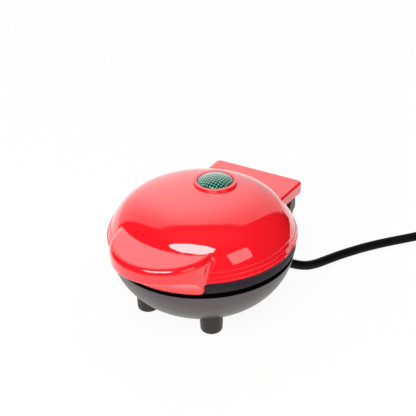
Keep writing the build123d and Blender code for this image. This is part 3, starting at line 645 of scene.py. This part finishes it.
# %% [markdown]
# ## Strain relief
# Where the lead leaves the bowl, a tapered PVC sleeve with rings cut round
# it keeps the bend gentle. It is turned about its own slanting axis: the
# taper is a straight line, and each cut takes a smooth bite out of it.

# %% Ringed sleeve
GLAND_START = (29.76, 34.24, 21.32)
GLAND_ROOT = 5.4
GLAND_TIP = 4.3
GLAND_CUTS = 5
GLAND_CUT_DEEP = 0.75
GLAND_FIRST_CUT = 9.0
TAPER_LIP = 0.7
TAPER_END = 0.8
gland_way = np.array(GLAND_END) - np.array(GLAND_START)
gland_length = np.linalg.norm(gland_way)


def ringed_taper(length, root, tip, first_cut, cuts, deep):
    """Profile of a taper with cuts: the radius falls evenly, less the square of a half sine in each cut."""
    along = np.linspace(0, length, 220)
    taper = root + (tip - root) * along / length
    phase = (along - first_cut) / (length - first_cut - TAPER_END) * cuts
    bite = np.where((phase > 0) & (phase < cuts), np.clip(np.sin(2 * math.pi * (phase - 0.25)), 0, 1), 0)
    edge = np.sqrt(np.clip(1 - np.clip((along - length + TAPER_LIP) / TAPER_LIP, 0, 1) ** 2, 0, 1))
    return np.column_stack([taper - deep * bite - TAPER_LIP * (1 - edge), along])


sleeve_profile = ringed_taper(gland_length, GLAND_ROOT, GLAND_TIP, GLAND_FIRST_CUT, GLAND_CUTS, GLAND_CUT_DEEP)
sleeve_rings = turned_rings(sleeve_profile, 64, GLAND_START, gland_way, (0, 0, 1))
skin("strain_sleeve", sleeve_rings, "base", "cord_black", pvc_plug, "cord_gland")

# %% [markdown]
# ## The plug
# The moulded plug grows out of the lead: a ringed taper, then a grip that is
# wider than it is thick, with a waist for the fingers and shallow ribs. A
# box with bevels could stand for it, but one formula carries the section
# from a circle to a rounded rectangle: a superellipse, whose exponent rises
# from two to five along the way.

# %% Plug body
PLUG_RELIEF = 14.0
PLUG_LENGTH = 24.0
PLUG_HALF_WIDE = 11.0
PLUG_HALF_THICK = 8.0
PLUG_WAIST = 1.3
PLUG_RIBS = 6
PLUG_RIB_DEEP = 0.35
PLUG_EDGE = 2.2
PLUG_SWELL = 3.2
RELIEF_LEAST = 3.5
RELIEF_DROPPED = 14
RIBS_FROM = 0.2
RIBS_SHARE = 0.6
plug_way = np.array([last_way[0], last_way[1], 0.0])
plug_way = plug_way / np.linalg.norm(plug_way)


def signed_power(values, power):
    """Values raised to a power with their sign kept, which turns a circle into a superellipse."""
    return np.sign(values) * np.abs(values) ** power


def plug_rings(origin, way, around=112):
    """Superellipse sections along the plug: half sizes and exponent ease from the round relief, without its
    rounded lip, to the grip."""
    relief = ringed_taper(PLUG_RELIEF, 4.2, 5.6, 2.0, 4, 0.6)
    relief = np.maximum(relief[:-RELIEF_DROPPED], (RELIEF_LEAST, 0))
    grip_start = PLUG_RELIEF - TAPER_END
    edge_start = PLUG_RELIEF + PLUG_LENGTH - PLUG_EDGE
    place = np.concatenate([relief[:, 1], np.linspace(grip_start, edge_start, 120)])
    grip = np.clip((place - grip_start) / PLUG_SWELL, 0, 1)
    swell = grip * grip * (3 - 2 * grip)
    round_radius = np.interp(place, relief[:, 1], relief[:, 0])
    along = np.clip((place - PLUG_RELIEF) / PLUG_LENGTH, 0, 1)
    waist = PLUG_WAIST * np.sin(math.pi * along) ** 2 * swell
    rib_phase = (along - RIBS_FROM) / RIBS_SHARE
    ribs = PLUG_RIB_DEEP * np.clip(np.sin(2 * math.pi * PLUG_RIBS * rib_phase), 0, 1)
    ribs = ribs * ((rib_phase > 0) & (rib_phase < 1))
    wide = round_radius + (PLUG_HALF_WIDE - round_radius) * swell - waist
    thick = round_radius + (PLUG_HALF_THICK - round_radius) * swell - 0.5 * waist - ribs
    power = 2 + 3 * swell
    turn = np.linspace(0, math.pi / 2, 9)[1:]
    place = np.concatenate([place, PLUG_RELIEF + PLUG_LENGTH - PLUG_EDGE * (1 - np.sin(turn))])
    shrink = PLUG_EDGE * (1 - np.cos(turn))
    wide = np.concatenate([wide, wide[-1] - shrink])
    thick = np.concatenate([thick, thick[-1] - shrink])
    power = np.concatenate([power, np.full(len(turn), power[-1])])
    angle = np.linspace(0, 2 * math.pi, around, endpoint=False)
    up = np.array([0.0, 0.0, 1.0])
    aside = np.cross(way, up)
    x = wide[:, None] * signed_power(np.cos(angle), 2 / power[:, None])
    y = thick[:, None] * signed_power(np.sin(angle), 2 / power[:, None])
    return origin + x[..., None] * up + y[..., None] * aside + place[:, None, None] * way


skin("plug_grip", plug_rings(coil_end, plug_way), "base", "plug_black", pvc_plug, "plug_body")

# %% [markdown]
# ## The tie round the coil
# A nylon strap holds the put-away turns together: a flat band with rounded
# edges, pulled round both layers of the lead, and the small block that its
# tail passes through. A bevelled curve would do, but a flat section carried
# along the bundle's outline keeps the band's true width and thickness.

# %% Strap and its block
TIE_TURN = COIL_TURNS / 2 - 0.5
TIE_THICK = 0.8
TIE_WIDTH = 5.0
TIE_SLACK = 0.15
TIE_FLATNESS = 1.3
BLOCK_HALF = (3.4, 1.7, 3.1)
BLOCK_POWER = 0.4
BLOCK_RISE = 0.9
tie_heading = math.atan2(math.cos(COIL_HEADING), -math.sin(COIL_HEADING)) - 2 * math.pi * TIE_TURN
TIE_OUT = np.array([math.cos(tie_heading), math.sin(tie_heading), 0.0])
TIE_ALONG = np.array([math.sin(tie_heading), -math.cos(tie_heading), 0.0])
UPWARDS = np.array([0.0, 0.0, 1.0])
tie_spot = coil_points(np.array([TIE_TURN]))[0]


def strap_rings(around=72):
    """Sections along a path round the bundle: the path is a stadium that starts and ends in the block, and the
    section is a rounded rectangle, two sine waves cut off flat."""
    angle = np.linspace(0.7 * math.pi, 2.3 * math.pi, around)[:, None]
    turn = np.linspace(0, 2 * math.pi, 24, endpoint=False)
    wide = np.clip(TIE_FLATNESS * np.cos(turn), -1, 1) * TIE_WIDTH / 2
    thick = (1 + np.clip(TIE_FLATNESS * np.sin(turn), -1, 1)) * TIE_THICK / 2
    reach = CORD_RADIUS + TIE_SLACK + thick
    aside = reach * np.cos(angle)
    high = reach * np.sin(angle) + COIL_RISE * (np.sin(angle) > 0)
    wide = np.broadcast_to(wide, aside.shape)
    return tie_spot + aside[..., None] * TIE_OUT + high[..., None] * UPWARDS + wide[..., None] * TIE_ALONG


def block_rings(around=48):
    """A superellipsoid: sines and cosines of both angles raised to two fifths, which squares it up."""
    tilt = np.linspace(-1.5, 1.5, 21)[:, None]
    angle = np.linspace(0, 2 * math.pi, around, endpoint=False)
    size = np.cos(tilt) ** BLOCK_POWER
    aside = BLOCK_HALF[0] * size * signed_power(np.cos(angle), BLOCK_POWER)
    high = BLOCK_HALF[1] * size * signed_power(np.sin(angle), BLOCK_POWER)
    along = np.broadcast_to(BLOCK_HALF[2] * signed_power(np.sin(tilt), BLOCK_POWER), aside.shape)
    middle = tie_spot + (COIL_RISE + CORD_RADIUS + TIE_SLACK + BLOCK_RISE) * UPWARDS
    return middle + aside[..., None] * TIE_OUT + high[..., None] * UPWARDS + along[..., None] * TIE_ALONG


skin("tie_strap", strap_rings(), "base", "tie_black", tie_nylon, "cord_tie")
skin("tie_block", block_rings(), "base", "tie_black", tie_nylon)

# %% [markdown]
# ## Finishes onto the frame
# A node keeps its own mesh where its shape is already the real one, and only
# its material changes. A table of slots says which finish stands for which
# material of the record.

# %% Dress the nodes
SLOT_FINISH = {
    "lid_red": red_abs, "base_grey": charcoal_abs, "lens_green": green_lens, "bezel_black": phenolic,
    "nonstick": coated_plate, "heater_steel": heater_alloy, "shield_aluminium": shield_sheet,
    "screw_steel": zinc_steel, "thermostat_body": thermostat_case, "fuse_metal": fuse_tin,
    "lamp_glass": neon_glass, "foot_rubber": rubber, "cord_black": pvc, "plug_black": pvc_plug,
    "tie_black": tie_nylon, "blade_brass": brass, "lead_silicone": silicone,
}
for name, node in nodes.items():
    for material_slot in node.material_slots:
        old = material_slot.material.name.split(".")[0]
        material_slot.material = SLOT_FINISH[old]
nodes["lamp_holder"].material_slots[0].material = holder_plastic
power_lead.data.materials.append(pvc)
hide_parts("power_cord", "cord_coil")
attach(power_lead, "base")

# %% [markdown]
# ## The studio
# The set is a white table that runs on into a white wall, with one lamp on
# the wall behind, a softbox above the front and a smaller one to the right.
# Those are what the gloss of the lid shows. Black cloth closes off the rest
# of the room, as it does round a real glossy product. Gloss sees all this as
# a large sphere with a glow worked out for each direction, because a plain
# panel couldn't fade. The light itself comes from plain lamps and a pale
# world, which gloss doesn't see.

# %% Table, world, room and lamps
TABLE_HALF = 6.0
TABLE_GLOW = 0.93
WORLD_LIGHT = 1.0
ROOM_REACH = 2.6
CARD_REACH = 0.42
WALL_AZIMUTHS = (-82, 10)
WALL_TOP = 58
WALL_GLOW = 0.60
LAMP_PLACE = (-39, 34)
LAMP_GLOW = 0.68
LAMP_SPREAD = 21
LAMP_SPREAD_BELOW = 40
LAMP_SPREAD_ABOVE = 26
CLOTH_GLOW = 0.005
OVERHEAD_GLOW = 0.075
OVERHEAD_FROM = 55
OVERHEAD_RUN = 15


def stage_mesh(name, points, faces, material):
    """An object of the set, which isn't part of the appliance."""
    mesh = bpy.data.meshes.new(name)
    mesh.from_pydata(points, [], faces)
    mesh.materials.append(material)
    thing = bpy.data.objects.new(name, mesh)
    scene.collection.objects.link(thing)
    return thing


def background_share(tree):
    """One for the rays that look at the background: those of the camera, of gloss and of glass."""
    ray = add(tree, "LightPath")
    seen = add(tree, "Math", {0: ray.outputs["Is Camera Ray"], 1: ray.outputs["Is Glossy Ray"]}, operation="ADD")
    return add(tree, "Math", {0: seen.outputs[0], 1: ray.outputs["Is Transmission Ray"]}, operation="ADD",
               use_clamp=True).outputs[0]


def studio_table():
    """A large square under the appliance."""
    material, tree, _ = new_material("white_table")
    matt = add(tree, "BsdfDiffuse", {"Color": hex_colour("#F2F2F2")})
    glow = add(tree, "Emission", {"Color": (1, 1, 1, 1), "Strength": 1.0})
    share = add(tree, "Math", {0: background_share(tree), 1: TABLE_GLOW}, operation="MULTIPLY")
    mixed = add(tree, "MixShader", {0: share.outputs[0], 1: matt.outputs[0], 2: glow.outputs[0]})
    add(tree, "OutputMaterial", {"Surface": mixed.outputs[0]})
    corners = [(x * TABLE_HALF, y * TABLE_HALF, 0) for x, y in ((-1, -1), (1, -1), (1, 1), (-1, 1))]
    stage_mesh("studio_table", corners, [(0, 1, 2, 3)], material)


def studio_world():
    """White as a background, and as a light a white horizon that darkens to a grey ceiling."""
    world = bpy.data.worlds.new("studio")
    scene.world = world
    world.use_nodes = True
    tree = world.node_tree
    tree.nodes.clear()
    height = add(tree, "SeparateXYZ", {"Vector": add(tree, "TexCoord").outputs["Generated"]}).outputs["Z"]
    room = add(tree, "ValToRGB", {"Fac": height}, [(0.0, "#C8C8C8"), (0.35, "#9A9A9A"), (0.8, "#6A6A6A")])
    room_light = add(tree, "Background", {"Color": room.outputs["Color"], "Strength": WORLD_LIGHT})
    white = add(tree, "Background", {"Color": (1, 1, 1, 1), "Strength": 1.0})
    mixed = add(tree, "MixShader", {0: background_share(tree), 1: room_light.outputs[0], 2: white.outputs[0]})
    add(tree, "OutputWorld", {"Surface": mixed.outputs[0]})


def direction(azimuth, elevation):
    """Unit vector at an azimuth from +Y towards +X and an elevation, in degrees."""
    a, e = np.broadcast_arrays(np.radians(azimuth), np.radians(elevation))
    return np.stack([np.sin(a) * np.cos(e), np.cos(a) * np.cos(e), np.sin(e)], axis=-1)


def between(values, low, high, soft):
    """One between two bounds and nothing outside, with edges eased over a soft width."""
    rise = np.clip((values - low) / soft + 0.5, 0, 1)
    fall = np.clip((high - values) / soft + 0.5, 0, 1)
    return rise * rise * (3 - 2 * rise) * fall * fall * (3 - 2 * fall)


def room_glow(azimuth, elevation):
    """Times white: a wall behind, half lit, with a lamp on it that fades as a bell curve to each side, and
    cloth elsewhere, a little less black overhead."""
    aside, above = azimuth - LAMP_PLACE[0], elevation - LAMP_PLACE[1]
    spread = np.where(above < 0, LAMP_SPREAD_BELOW, LAMP_SPREAD_ABOVE)
    lamp = np.exp(-(aside / LAMP_SPREAD) ** 2 - (above / spread) ** 2)
    wall = between(azimuth, *WALL_AZIMUTHS, 4) * between(elevation, -90, WALL_TOP, 5)
    overhead = np.clip((elevation - OVERHEAD_FROM) / OVERHEAD_RUN, 0, 1)
    return (WALL_GLOW + LAMP_GLOW * lamp) * wall + (CLOTH_GLOW + OVERHEAD_GLOW * overhead) * (1 - wall)


def gloss_only(name, azimuths, elevations, reach):
    """A patch of a sphere with the room's glow at each point, which only glossy rays see."""
    material, tree, _ = new_material(name)
    glow = add(tree, "Attribute", attribute_name="glow").outputs["Fac"]
    add(tree, "OutputMaterial", {"Surface": add(tree, "Emission", {"Strength": glow}).outputs[0]})
    count = len(elevations)
    a, e = np.meshgrid(azimuths, elevations, indexing="ij")
    points = reach * direction(a, e).reshape(-1, 3)
    start = (np.arange(len(azimuths) - 1)[:, None] * count + np.arange(count - 1)[None, :]).ravel()
    faces = np.stack([start, start + 1, start + count + 1, start + count], axis=-1)
    patch = stage_mesh(name, points.tolist(), faces.tolist(), material)
    values = patch.data.attributes.new("glow", "FLOAT", "POINT")
    values.data.foreach_set("value", room_glow(a, e).ravel())
    for ray in ("camera", "diffuse", "transmission", "shadow"):
        setattr(patch, "visible_" + ray, False)


def soft_panel(name, azimuth, elevation, distance, width, height, brightness, shape="RECTANGLE"):
    """A soft panel that faces the appliance and looks brightness times white: its power is that times pi
    times its area."""
    back = direction(azimuth, elevation)
    right = np.array([-math.cos(math.radians(azimuth)), math.sin(math.radians(azimuth)), 0.0])
    up = np.cross(back, right)
    area = width * height * (math.pi / 4 if shape == "ELLIPSE" else 1)
    lamp = bpy.data.lights.new(name, "AREA")
    lamp.shape = shape
    lamp.size, lamp.size_y = width, height
    lamp.energy = brightness * math.pi * area
    holder = bpy.data.objects.new(name, lamp)
    scene.collection.objects.link(holder)
    turned_axes = Matrix(np.column_stack([right, up, back]).tolist()).to_4x4()
    holder.matrix_world = Matrix.Translation((back * distance + np.array([0, 0, 0.05])).tolist()) @ turned_axes
    return holder


studio_table()
studio_world()
gloss_only("studio_room", np.linspace(-180, 180, 241), np.linspace(1.5, 89.5, 89), ROOM_REACH)
gloss_only("black_card", np.linspace(12, 85, 74), np.linspace(0.2, 14, 9), CARD_REACH)
DIFFUSE_PANELS = (
    ("rear_lamp", -35, 27, 1.6, 3.1, 2.6, 0.9),
    ("front_key", 168, 45, 1.5, 1.3, 1.0, 5.2),
    ("left_fill", 243, 10, 1.3, 1.0, 0.4, 2.6),
    ("right_fill", 75, 64, 1.5, 1.2, 1.0, 0.95),
)
GLOSS_PANELS = (
    ("front_softbox", 169, 62, 1.5, 1.22, 0.62, 8.4, "ELLIPSE"),
    ("right_softbox", 99.5, 30.4, 1.6, 0.72, 0.58, 2.0),
)
for panel in DIFFUSE_PANELS:
    soft_panel(*panel).visible_glossy = False
for panel in GLOSS_PANELS:
    soft_panel(*panel).visible_diffuse = False
scene.view_settings.view_transform = "Standard"
